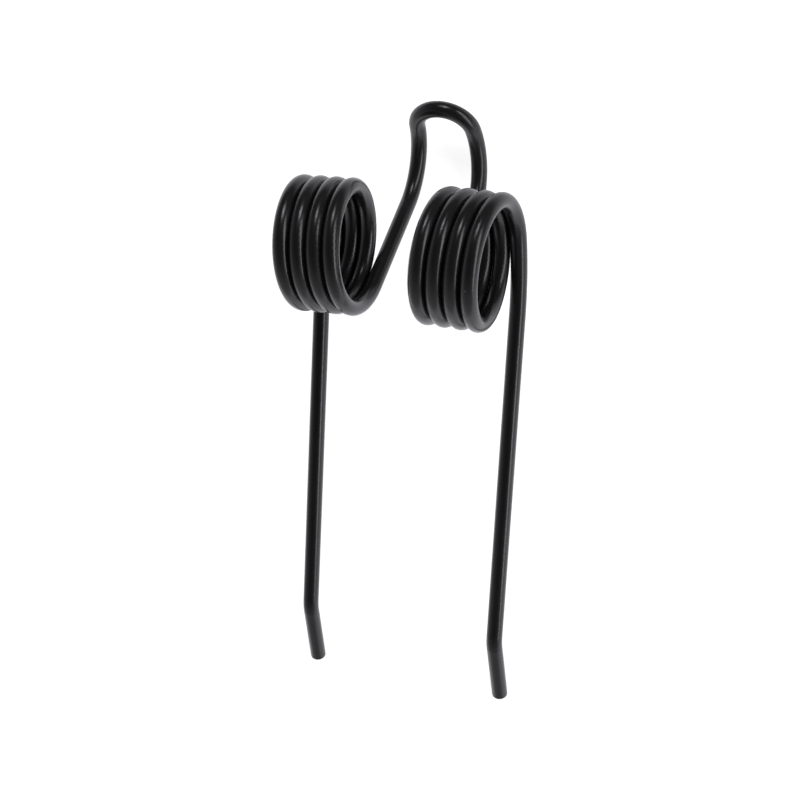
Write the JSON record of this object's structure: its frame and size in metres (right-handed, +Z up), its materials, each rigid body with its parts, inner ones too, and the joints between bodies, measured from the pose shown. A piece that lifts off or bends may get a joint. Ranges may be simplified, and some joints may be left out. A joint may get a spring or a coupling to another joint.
{
  "type": "double torsion spring",
  "caption": "Bent-wire double torsion spring: two close-wound coils of opposite hand, joined by a hooked loop, with two long straight legs whose tips bend back.",
  "frame": {"origin": "on the floor under the middle of the spring's bounding box, as it lies on its back", "axes": "+X along the coil axis, +Y from the tips towards the loop, +Z up, from the back of the spring to the front of its coils"},
  "size_m": [0.0832, 0.2244, 0.0745],
  "materials": {
    "painted_wire": "black semi-gloss paint over spring steel wire"
  },
  "bodies": {
    "root": {"torsion_spring": "painted_wire"}
  },
  "joints": []
}
